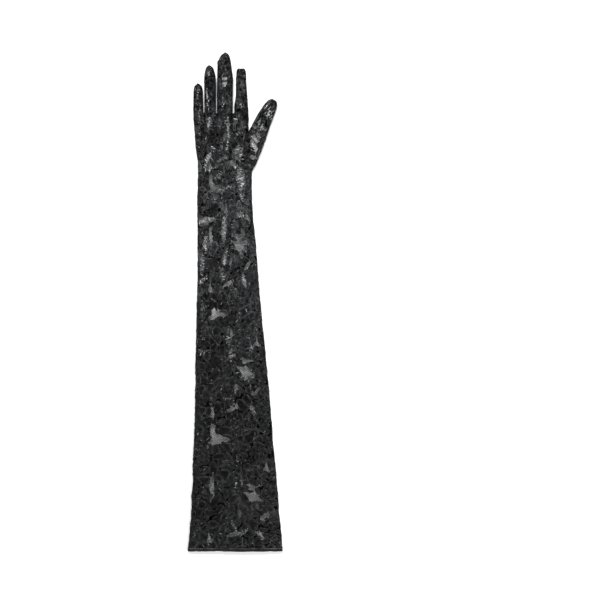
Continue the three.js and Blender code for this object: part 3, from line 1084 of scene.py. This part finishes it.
def petal_bars(sheet, p, open_at, rng):
    """Bars of thread across the petals."""
    rows = []
    for repeat in range(-1, 5):
        for x0, y0, x1, y1, _ in SEEDS:
            dx, dy = x1 - x0, y1 - y0
            long = math.hypot(dx, dy)
            dx, dy = dx / long, dy / long
            lean = rng.uniform(-0.35, 0.35)
            first = rng.uniform(0, 3.0) - 3.2
            for at in np.arange(first, long + 3.2, 2.7):
                cx, cy = x0 + dx * at, y0 + dy * at + repeat * LACE_REPEAT + HEM_Y
                scale, chance = rng.uniform(0.75, 1.25), rng.uniform(-1, 1)
                rows.append((cx, cy, -dy + lean * dx, dx + lean * dy, scale, chance))
    cx, cy, ax, ay, scale, chance = np.array(rows).T
    half = (petals(cx, cy)[0] - 1.5).clip(0, 3.4) * scale
    places = []
    for share in (-1.0, 0.0, 1.0):
        x, y = cx + ax * half * share, cy + ay * half * share
        pull_x, pull_y = warp(x, y)
        places.append(sheet.locate(x - pull_x, y - pull_y, on_chart=True))
    points, normals, keep = bar_places(sheet, p, places)
    for i, j, _ in places:
        keep &= sheet.sample(open_at, i, j) < -0.6
    # How light each bar is drawn, a painted glint, from the glossy places.
    shine = gloss_glint_and_shade_at(points[:, 1, 0], points[:, 1, 1]).clip(0, 1) * 0.8
    common = chance < np.where(points[:, 1, 1] > -60, 0.0, -0.5)
    keep &= (half > 0.9) & (common | (shine > 0.2))
    return points[keep], normals[keep], shine[keep]


def ladder_bars(sheet, p, rng):
    """Ladders of glossy bars along the places of glossy stitch work, drawn light as painted glints."""
    rows = []
    for row in THUMB_SATIN_GLINT if sheet.of_thumb else SATIN_GLINT_AND_SHADE:
        if row["gain"] < 0:
            continue
        turn = math.radians(row["turn"])
        c, s = math.cos(turn), math.sin(turn)
        at = -row["long"] / 2
        while at < row["long"] / 2 - 1.5:
            at += rng.uniform(1.5, 3.6)
            room = row["wide"] / 2 * math.sqrt(max(0.1, 1 - (2 * at / row["long"]) ** 2))
            half = room * rng.uniform(0.2, 0.85)
            side = (room - half) * rng.uniform(-1, 1) + 0.5 * rng.uniform(-1, 1)
            lean = rng.uniform(-0.7, 0.7)
            half = max(half, 0.7)
            rows.append((row["x"] + c * at - s * side, row["y"] + s * at + c * side, half * (-s + lean * c),
                         half * (c + lean * s), row["gain"] * rng.choice([0.25, 0.5, 0.8, 1.15])))
    mx, my, ax, ay, shine = np.array(rows).T
    places = [sheet.locate(mx + ax * share, my + ay * share) for share in (-1.0, 0.0, 1.0)]
    points, normals, keep = bar_places(sheet, p, places)
    return points[keep] + np.array([0, 0, 0.1]), normals[keep], shine[keep].clip(0, 1.2)


def add_bars(bag, points, normals, shine):
    """Padded bars, five-sided and thickest in the middle."""
    n = len(points)
    if not n:
        return
    tangent = unit(points[:, 2] - points[:, 0])
    side = unit(np.cross(normals, tangent[:, None, :]))
    wide = np.array([0.26, 0.48, 0.26])[None, :, None, None] * (1 + 0.3 * shine)[:, None, None, None]
    tall = np.array([0.2, 0.42, 0.2])[None, :, None, None]
    lift = np.array([-0.1, 0.12, -0.1])[None, :, None]
    c, s = (v[None, None, :, None] for v in ring_angles(5, 0.5))
    ring = (points + normals * lift)[:, :, None, :] + (
        wide * c * side[:, :, None, :] + tall * s * normals[:, :, None, :])
    pattern = []
    for k in range(2):
        for m in range(5):
            a, b = k * 5 + m, k * 5 + (m + 1) % 5
            pattern += [(a, b, b + 5), (a, b + 5, a + 5)]
    for m in range(1, 4):
        pattern += [(0, m + 1, m), (10, 10 + m, 11 + m)]
    faces = (np.arange(n)[:, None, None] * 15 + np.array(pattern)[None]).reshape(-1, 3)
    half = np.repeat(np.linalg.norm(points[:, 1] - points[:, 0], axis=1), 15)
    tone = np.random.default_rng(n).uniform(-1, 1, n)
    bag.add(ring.reshape(-1, 3), faces, edge=DEEP, run=np.tile(np.repeat([0.0, 1.0, 2.0], 5), n) * half * 2.4,
            tone=np.repeat(tone, 15), satin=np.repeat(shine, 15))


def lace_piece(bags, sheet, crop=None):
    """Adds a sheet's lace, cords and net to the bags, and returns its raised points."""
    solid, window, *petal = lace_field(sheet)
    edge, number, along, across = petal
    height = relief(sheet, window, *petal)
    back = sheet.side > 0
    if not back:
        height = np.minimum(height, INSET + 0.3)
        window = window - 1.3
    p = sheet.p + sheet.n * height[..., None]
    if not back:
        p[..., 2] = np.maximum(p[..., 2], 0.03)
    field, open_at = np.minimum(solid, window), -np.minimum(solid - 0.25, window)
    if crop is not None:
        field, open_at = np.minimum(field, crop), np.minimum(open_at, crop)
    facing = np.abs(sheet.n[..., 2])
    data = {
        "p": p, "n": sheet.n, "edge": edge,
        "rib": along + 0.55 * np.abs(across),
        # Each petal's own random tone; those with the highest are drawn as painted highlights, and low on the
        # arm the tone is narrowed so that none are.
        "tone": np.sin(number * 78.233) * np.interp(p[..., 1], LOWER_Y, [0.6, 1.0]),
        # Lighter at the glossy places and with the painted light along the glove; darker where the surface
        # turns away from the top, painted shade on the glove's sides, and darker on the thumb, painted shade
        # too.
        "satin": gloss_and_painted_light_at(p[..., 0], p[..., 1]) - 0.9 * (1 - facing) - THUMB_SHADE[0] * sheet.of_thumb,
    }
    data = {key: grid.reshape(-1, *grid.shape[2:]) for key, grid in data.items()}
    tris, data, segs = clip(sheet.tris(), field.ravel(), data)
    points, normals = data.pop("p"), data.pop("n")
    bags["lace"].add(points, tris, 0 if back else 1, **data)
    for run in chains(segs):
        line, closed = spaced(np.concatenate([points[run], normals[run]], 1), CORD_STEP[sheet.side])
        if len(line) < 4:
            continue
        # The back's cords take the same painted light and shade, and the thumb's cords are darker, painted
        # shade.
        gloss = gloss_and_painted_light_at(line[:, 0], line[:, 1]) if back else 0.0
        gloss = gloss - THUMB_SHADE[1] * sheet.of_thumb
        add_tube(bags["cord"], line[:, :3] - line[:, 3:] * 0.05, line[:, 3:], CORD, closed=closed,
                 sides=4 if back else 3, tone=float(np.sin(run[0])), half=1, satin=gloss)
    add_net(bags["net"], sheet, net_lines(sheet, open_at), p, window)
    if back:
        rng = np.random.default_rng(29)
        add_bars(satin_bag, *petal_bars(sheet, p, open_at, rng))
        add_bars(satin_bag, *ladder_bars(sheet, p, rng))
    return p


# Threads and stitches.
def place_on(sheet, p, x, y):
    i, j, _ = sheet.locate(x, y)
    return sheet.sample(p, i, j), sheet.sample(sheet.n, i, j)


def lay_threads(rows, sheet, p, cords):
    """A table's single threads, on a sheet's raised points p. The dark ones go to its cords."""
    for row in rows:
        share = np.linspace(0, 1, 7)
        x = row["x0"] + (row["x1"] - row["x0"]) * share
        y = row["y0"] + (row["y1"] - row["y0"]) * share
        points, normals = place_on(sheet, p, x, y)
        bag, (radius, lift) = (satin_bag, GLOSSY) if row["shine"] > 0 else (cords, DARK)
        rise = 0.35 * np.sin(math.pi * share) + lift
        add_tube(bag, points + normals * rise[:, None], normals, radius, satin=row["shine"])


def stitches(points, normals, radius, long=1.5, pitch=2.6, lift=0.0, slant=0.0, shine=-0.3):
    """A row of short threads along a run of points."""
    arc = arc_length(points)
    starts = np.arange(0.3, arc[-1] - long, pitch)
    side = np.cross(normals, unit(np.gradient(points, axis=0)))
    share = np.array([0.0, 0.15, 0.5, 0.85, 1.0])
    rise = np.array([-0.5, 0.15, 0.4, 0.15, -0.5]) * radius * 2
    # Threads with shine over 0 are drawn lighter as painted glints, as on the hem and the thumb, and those
    # under 0 darker as painted shade, as along the seams.
    shine = shine * (0.55 + 0.6 * noise_c(starts + 60, starts * 0 + 40, 11))
    for start, gloss in zip(starts, shine):
        at = start + share * long
        here, n, beside = (
            np.stack([np.interp(at, arc, column) for column in grid.T], 1)
            for grid in (points, normals, side))
        line = here + n * (rise + lift)[:, None] + beside * ((share - 0.5) * slant)[:, None]
        add_tube(threads, line, n, radius, satin=gloss)


def seam(sheet, p, rows, cols, radius=0.45):
    """The cord and its small stitches along one edge of a sheet."""
    points, normals = p[rows, cols], sheet.n[rows, cols]
    tube_along(seams, points, normals, radius)
    stitches(points, normals, 0.16, lift=radius * 0.9, slant=0.8)


# The panels, the thumb and the fourchettes.
def panel(side):
    """A panel of the arm, hand and fingers: its bags, and each sheet with its raised points."""
    bags = {key: Bag() for key in ("lace", "cord", "net")}
    arm = build_sheet("arm", side, ARM, HEM_Y + 5.5, CROTCH_Y, ARM_COLUMNS)
    lx, ly = thumb_local(arm.x, arm.y)
    left, right, high = sides_at(THUMB, ly)
    in_thumb = np.minimum(np.minimum(lx - left, right - lx) - 1.0, np.minimum(ly - THUMB[0]["y"], -ly))
    low_enough = (high - 1.2 - arm.p[..., 2]) if side > 0 else arm.p[..., 2] - 0.9
    sheets = {"arm": (arm, lace_piece(bags, arm, crop=-np.minimum(in_thumb, low_enough)))}
    for name, rows in FINGERS.items():
        sheet = build_sheet("finger", side, rows, CROTCH_Y - 0.8, rows[-1]["y"], FINGER_COLUMNS, name)
        sheets[name] = (sheet, lace_piece(bags, sheet))
    return bags, sheets


def thumb_side(bags, side):
    """One side of the thumb, cut where it meets the hand. Returns it with its raised points."""
    sheet = build_sheet("thumb", side, THUMB, THUMB[0]["y"], THUMB[-1]["y"], THUMB_COLUMNS)
    x, y, z = sheet.p[..., 0], sheet.p[..., 1], sheet.p[..., 2]
    hand_left, hand_right, _ = sides_at(ARM, y)
    half = (hand_right - hand_left) / 2 - INSET
    u = np.abs(x - (hand_left + hand_right) / 2)
    foot = ((u - half + SEAM_Z) / SEAM_Z).clip(0, 1)
    under = SEAM_Z - (SEAM_Z - INSET) * np.sqrt(1 - foot**2)
    inside = np.minimum(np.minimum(crown_z(ARM, x, y) - z, z - under + 0.8), (half - u) * 2 + 1)
    return sheet, lace_piece(bags, sheet, crop=-inside - 0.1)


def fourchette(strip):
    """A strip from one fingertip's side down to the crotch and up the next finger."""
    bag = Bag()
    ys = np.arange(strip["top"], CROTCH_Y + 1.2, -0.9)
    one, two = look_up(FINGERS[strip["left"]], ys, "right"), look_up(FINGERS[strip["right"]], ys, "left")
    turn = np.linspace(0, math.pi, 9)[1:-1]
    mid, reach = (one[-1] + two[-1]) / 2, (two[-1] - one[-1]) / 2
    px = np.concatenate([one, mid - reach * np.cos(turn), two[::-1]])
    py = np.concatenate([ys, ys[-1] - 1.2 * np.sin(turn), ys[::-1]])
    path = np.stack([px, py], 1)
    tangent = unit(np.gradient(path, axis=0))
    outward = np.stack([-tangent[:, 1], tangent[:, 0]], 1)
    zs = np.linspace(STRIP_LOW, STRIP_HIGH, 8)
    above = 1 - (1 - ((zs - SEAM_Z) / (8.0 - SEAM_Z)) ** 3) ** (1 / 3)
    below = 1 - np.sqrt(1 - ((SEAM_Z - zs) / SEAM_Z) ** 2)
    depth = np.where(zs > SEAM_Z, above * 7.0, below * 4.0) + INSET
    grid = np.zeros((len(path), len(zs), 3))
    grid[..., :2] = path[:, None, :] - outward[:, None, :] * depth[None, :, None]
    grid[..., 2] = zs[None, :]
    normals = unit(np.cross(np.gradient(grid, axis=0), np.gradient(grid, axis=1)))
    if (normals[..., :2] * outward[:, None, :]).sum() < 0:
        normals = -normals
    arc = arc_length(path)
    hump = np.sin(np.linspace(0, math.pi, len(zs)))[None, :]
    rise = 0.22 * np.cos(2 * math.pi * arc[:, None] / STRIP_PITCH) * hump
    grid = grid + normals * (rise + 0.12 * noise_a(arc[:, None] + 40, zs[None, :] * 3, 2.3))[..., None]
    index = np.arange(len(path) * len(zs)).reshape(len(path), len(zs))
    tris = quads(index[:-1, :-1], index[1:, :-1], index[1:, 1:], index[:-1, 1:])
    if np.cross(grid[1, 0] - grid[0, 0], grid[1, 1] - grid[0, 0]) @ normals[0, 0] < 0:
        tris = tris[:, ::-1]
    edge = np.tile(np.minimum(zs - zs[0], zs[-1] - zs) + 1.0, len(path))
    bag.add(grid.reshape(-1, 3), tris, 1, rib=np.repeat(arc, len(zs)), edge=edge)
    for k in (0, -1):
        tube_along(seams, grid[:, k], normals[:, k], 0.4)
    stitches(grid[:, -1], normals[:, -1], 0.22, pitch=2.3, lift=0.4, slant=0.7)
    return bag


def turned_hem():
    """The lace turned over round the open end, with its row of stitches."""
    left, right, high = sides_at(ARM, HEM_Y)
    size = left - HEM_OUT, right + HEM_OUT, high + HEM_UP
    over, under = (np.stack(outline_curve("hem", side, *size, HEM_Y)[:2], 1) for side in (1, -1))
    loop = np.concatenate([over, under[::-1][1:-1]])
    loop[:, 1] = np.maximum(loop[:, 1] - 0.2, 0.0)
    loop = spaced(np.concatenate([loop, loop[:1]]), 1.1)[0][:-1]
    run = arc_length(loop)
    tangent = unit(np.roll(loop, -1, 0) - np.roll(loop, 1, 0))
    away = np.stack([-tangent[:, 1], tangent[:, 0]], 1)
    face = np.sign(loop[:, 1] - SEAM_Z) * 50 + 700
    wave = layered(loop[:, 0] + 500, face, (noise_a, 0.55, 14), (noise_b, 0.3, 5))
    grid = np.zeros((len(HEM_FOLD), len(loop), 3))
    for k, row in enumerate(HEM_FOLD):
        along, deep = row["along"], row["deep"]
        bump = 0.3 * noise_c(run + 90, along * 2 + 50, HEM_PITCH)
        bump = bump + 0.1 * np.cos(2 * math.pi * run / HEM_PITCH) * (1.5 < along < 5)
        bump = np.where(loop[:, 1] < 1.0, np.minimum(bump, 0), bump) if deep < 0.5 else bump * 0.3
        grid[k, :, ::2] = loop - away * deep + away * bump[:, None]
        grid[k, :, 1] = HEM_Y + along + wave * (1 - along / HEM_DEPTH) + (0.35 if along < 1 else 0)
    grid[..., 2] = np.maximum(grid[..., 2], FLOOR_GAP)
    index = np.arange(len(HEM_FOLD) * len(loop)).reshape(len(HEM_FOLD), len(loop))
    beside, below = np.roll(index, -1, 1), np.roll(index, -1, 0)
    tris = quads(index, below, np.roll(beside, -1, 0), beside)
    normals = np.stack([away[:, 0], np.zeros(len(away)), away[:, 1]], 1)
    if np.cross(grid[3, 0] - grid[2, 0], grid[3, 1] - grid[2, 0]) @ normals[0] < 0:
        tris = tris[:, ::-1]
    verts = grid.reshape(-1, 3)
    edge = [1.1 + min(row["along"], 3.0) for row in HEM_FOLD]
    bag = Bag()
    bag.add(verts, tris, rib=np.tile(run, len(HEM_FOLD)), edge=np.repeat(edge, len(loop)),
            tone=2.2 * noise_b(verts[:, 0] + 300, verts[:, 1] + 700, HEM_PITCH))
    line = np.stack([loop[:, 0], HEM_Y + 4.3 + wave * 0.3, np.maximum(loop[:, 1], 0.3)], 1)
    # Its stitches are drawn light, painted glints along the hem.
    stitches(line - normals * 0.1, normals, 0.4, long=1.9, pitch=2.9, shine=0.8)
    return bag


# The back panel with the fingers' tops, the palm panel with their undersides, and the set-in thumb.
satin_bag, seams, threads = Bag(), Bag(), Bag()
back, back_sheets = panel(+1)
palm, _ = panel(-1)
thumb = {key: Bag() for key in ("lace", "cord", "net")}
thumb_top = thumb_side(thumb, +1)
thumb_side(thumb, -1)
lay_threads(KNUCKLE_THREADS, *back_sheets["middle"], back["cord"])
lay_threads(THUMB_THREADS, *thumb_top, thumb["cord"])

# The stitched line along the thumb's inner edge, drawn light as painted glints.
line_y = np.linspace(-48, -3, 48)
line_x = look_up(THUMB, line_y, "left") + 2.7
stitches(*place_on(*thumb_top, line_x, line_y), 0.42, lift=0.2, shine=1.0)

# Side seams, left open where the thumb is sewn in, and the seams round the fingertips.
for name, columns in SEAM_COLUMNS.items():
    sheet, p = back_sheets[name]
    for column in columns:
        parts = [slice(None)]
        if name == "arm" and column == -1:
            lx, ly = thumb_local(p[:, -1, 0], p[:, -1, 1])
            left, right, _ = sides_at(THUMB, ly)
            covered = np.flatnonzero((lx >= left - 0.5) & (lx <= right + 0.5) & (ly >= THUMB[0]["y"]))
            parts = [np.arange(covered[0]), np.arange(covered[-1] + 1, len(p))]
        for part in parts:
            seam(sheet, p, part, column)
    if name != "arm":
        seam(sheet, p, -1, slice(None))

strips = {strip["name"]: fourchette(strip) for strip in FOURCHETTES}
hem = turned_hem()


# Materials.
class Number:
    """A value in a node tree, so that a shader's sums read as plain ones."""

    def __init__(self, tree, socket):
        self.tree, self.socket = tree, socket

    def math(self, operation, *others):
        node = self.tree.nodes.new("ShaderNodeMath")
        node.operation = operation
        for place, value in zip(node.inputs, (self, *others)):
            if isinstance(value, Number):
                self.tree.links.new(value.socket, place)
            else:
                place.default_value = value
        return Number(self.tree, node.outputs[0])

    def __add__(self, other):
        return self.math("ADD", other)

    def __sub__(self, other):
        return self.math("SUBTRACT", other)

    def __rsub__(self, other):
        return self.math("MULTIPLY_ADD", -1.0, other)

    def __mul__(self, other):
        return self.math("MULTIPLY", other)

    def least(self, other):
        return self.math("MINIMUM", other)

    def most(self, other):
        return self.math("MAXIMUM", other)

    def wave(self, operation, pitch):
        return (self * (2 * math.pi / pitch)).math(operation)


def material(name, dark, light, rough, gloss, ribbed=0.0, twist=0.0, grain=0.5, span=(0.45, 0.85),
             bright=None):
    """Black thread work with random tone: its ribs, rims, cords, twists and glossy stitches drawn lighter as
    painted highlights, with painted shade in the troughs of its ribs and at the petals' open edges.
    """
    made = bpy.data.materials.new(name)
    made.use_nodes = True
    tree = made.node_tree
    nodes, links = tree.nodes, tree.links
    nodes.clear()
    out = nodes.new("ShaderNodeOutputMaterial")
    shader = nodes.new("ShaderNodeBsdfPrincipled")
    links.new(shader.outputs["BSDF"], out.inputs["Surface"])
    shader.inputs["Specular IOR Level"].default_value = gloss
    where = nodes.new("ShaderNodeTexCoord").outputs["Object"]

    def noise(scale, detail, roughness):
        node = nodes.new("ShaderNodeTexNoise")
        node.inputs["Scale"].default_value = scale
        node.inputs["Detail"].default_value = detail
        node.inputs["Roughness"].default_value = roughness
        links.new(where, node.inputs["Vector"])
        return Number(tree, node.outputs["Fac"])

    def attribute(key):
        node = nodes.new("ShaderNodeAttribute")
        node.attribute_name = key
        return Number(tree, node.outputs["Fac"])

    own, satin = attribute("tone"), attribute("satin")
    mottle = noise(230.0, 3.0, 0.6)
    tone = noise(38.0, 4.0, 0.6) * 0.22 + mottle * 0.3 + noise(560.0, 2.0, 0.6) * 0.48 + own * 0.07
    height = noise(1500.0, 3.0, 0.65) * 0.5
    if ribbed:
        edge, rib = attribute("edge"), attribute("rib")
        inner = (edge - 1.5).most(0.0).least(1.0)
        ribs = rib.wave("SINE", RIB_PITCH) * inner
        rungs = rib.wave("COSINE", RUNG_PITCH) * inner
        # Lighter along the petal's rim and inner ring, painted highlight on its raised edge and cord, and on
        # the crests of its ribs and rungs, with painted shade in their troughs.
        rim = 1.0 - ((edge - 1.1).math("ABSOLUTE") * 0.9).least(1.0)
        ring = 1.0 - ((edge - RING_AT).math("ABSOLUTE") * 1.9).least(1.0)
        height = height + ribs * ribbed
        tone = tone + rungs * 0.07 + ribs * 0.13 + rim.most(ring) * 0.26
    if twist:
        # Lighter on each turn of the twist, painted highlight, with random tone along it.
        turns = attribute("run").wave("SINE", TWIST_PITCH)
        height = height + turns * twist
        tone = tone + (noise(110.0, 2.0, 0.5) - 0.5) * 0.7 + turns * 0.12
    # Petals picked by their random tone, and places of gloss and painted light, are drawn lighter as painted
    # highlights and made glossier; places under 0 are drawn darker as painted shade.
    lit = ((own - 0.72) * 4.0).most(0.0).least(1.0)
    gloss_and_painted_glint = satin.most(lit * 0.5) * (mottle + 0.25)
    tone = tone + gloss_and_painted_glint * 0.4 + satin.least(0.0) * 0.12
    ramp = nodes.new("ShaderNodeValToRGB")
    for stop, place, colour in zip(ramp.color_ramp.elements, span, (dark, light)):
        stop.position = place
        stop.color = (*colour, 1)
    # A third, lighter stop for painted glints.
    if bright:
        ramp.color_ramp.elements.new(1.0).color = (bright, bright * 1.01, bright * 1.04, 1)
    links.new(tone.socket, ramp.inputs["Fac"])
    links.new(ramp.outputs["Color"], shader.inputs["Base Color"])
    uneven = mottle * 0.26 - gloss_and_painted_glint * 0.1 + (rough - 0.13)
    links.new(uneven.socket, shader.inputs["Roughness"])
    bump = nodes.new("ShaderNodeBump")
    bump.inputs["Strength"].default_value = grain
    bump.inputs["Distance"].default_value = 0.00035
    links.new(height.socket, bump.inputs["Height"])
    links.new(bump.outputs["Normal"], shader.inputs["Normal"])
    return made


# The dark ends of the colour ramps stand for black thread and painted shade, and the light ends for grey
# thread lit as painted highlight on the ridges.
BLACK_AND_SHADE, LACE_BLACK_AND_SHADE, GREY_AND_HIGHLIGHT = (0.0004, 0.0005, 0.0006), (0.0003, 0.00035, 0.0004), (0.016, 0.0166, 0.0178)
LACE = material("corded_lace", LACE_BLACK_AND_SHADE, (0.019, 0.0197, 0.0212), 0.36, 0.18, ribbed=0.7, grain=1.0,
                span=(0.46, 0.8), bright=0.11)
# The cords are drawn lighter than the lace, painted highlights for the light on their raised sheen.
CORDS = material("lace_cord", (0.001, 0.0011, 0.0013), (0.06, 0.062, 0.066), 0.32, 0.26, twist=0.6,
                 span=(0.46, 0.82), bright=0.3)
# The glossy threads are drawn near white, painted glints.
SATIN_THREAD = material("satin_thread", (0.003, 0.0032, 0.0036), (0.55, 0.56, 0.58), 0.24, 0.6, twist=0.3,
                        span=(0.48, 0.9), bright=0.8)
NET = material("lace_net", BLACK_AND_SHADE, (0.035, 0.036, 0.038), 0.5, 0.1, span=(0.56, 0.9))
SIDES = material("fourchette_lace", BLACK_AND_SHADE, GREY_AND_HIGHLIGHT, 0.45, 0.17, ribbed=0.4)
HEM = material("hem_lace", LACE_BLACK_AND_SHADE, (0.017, 0.0175, 0.0187), 0.42, 0.17, ribbed=0.3, grain=1.0)
# The stitches are drawn lighter than the lace, painted glints.
STITCH = material("stitch_thread", (0.003, 0.0031, 0.0034), (0.3, 0.305, 0.315), 0.4, 0.4, twist=0.5)
SEAM = material("seam_lace", BLACK_AND_SHADE, GREY_AND_HIGHLIGHT, 0.5, 0.15, twist=0.4)

# The pieces, with the CAD node that each one stands for.
for name, bag, finish, slot, node in (
    ("back_lace", back["lace"], LACE, "lace", "back_panel"),
    ("back_cord", back["cord"], CORDS, "lace", None),
    ("back_net", back["net"], NET, "lace", None),
    ("satin_bars", satin_bag, SATIN_THREAD, "lace", None),
    ("palm_lace", palm["lace"], LACE, "lace", "palm_panel"),
    ("palm_cord", palm["cord"], CORDS, "lace", None),
    ("palm_net", palm["net"], NET, "lace", None),
    ("thumb_lace", thumb["lace"], LACE, "lace", "thumb"),
    ("thumb_cord", thumb["cord"], CORDS, "lace", None),
    ("thumb_net", thumb["net"], NET, "lace", None),
    ("seam_cords", seams, SEAM, "lace", None),
    ("hem_fold", hem, HEM, "hem_lace", "hem_band"),
    ("stitching", threads, STITCH, "hem_lace", None),
    *(("strip_" + name, bag, SIDES, "side_lace", name) for name, bag in strips.items()),
):
    piece = bag.build(name, finish)
    if node:
        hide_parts(node)
    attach(piece, "root")


# Floor, light and camera.
def set_inputs(node, values):
    for key, value in values.items():
        node.inputs[key].default_value = value


bpy.ops.mesh.primitive_plane_add(size=8, location=(0, 0, 0))
floor = bpy.context.object
floor.name = "floor"
paper = bpy.data.materials.new("floor_paper")
paper.use_nodes = True
set_inputs(paper.node_tree.nodes["Principled BSDF"], {
    "Base Color": (0.92, 0.92, 0.92, 1), "Roughness": 0.9,
    "Emission Color": (1, 1, 1, 1), "Emission Strength": 0.2,
})
floor.data.materials.append(paper)

world = bpy.data.worlds.new("studio")
world.use_nodes = True
set_inputs(world.node_tree.nodes["Background"], {"Color": (1, 1, 1, 1), "Strength": 0.2})
bpy.context.scene.world = world


def area_light(name, place, aim, size, power):
    """A square light at a place, turned towards another."""
    data = bpy.data.lights.new(name, "AREA")
    data.shape = "SQUARE"
    data.size = size
    data.energy = power
    light = bpy.data.objects.new(name, data)
    light.location = place
    light.rotation_euler = (Vector(aim) - Vector(place)).to_track_quat("-Z", "Y").to_euler()
    bpy.context.scene.collection.objects.link(light)


area_light("key", (-0.2, 0.85, 1.5), (0, 0.15, 0), 0.18, 27)
area_light("fill", (1.0, -0.9, 1.7), (0, 0, 0), 0.8, 27)

camera_data = bpy.data.cameras.new("camera")
camera_data.sensor_width = SENSOR
camera_data.lens = LENS
camera = bpy.data.objects.new("camera", camera_data)
camera.location = (*CAMERA_PLACE, PHOTO_WIDTH * LENS / SENSOR)
bpy.context.scene.collection.objects.link(camera)
bpy.context.scene.camera = camera
bpy.context.scene.view_settings.view_transform = "Standard"
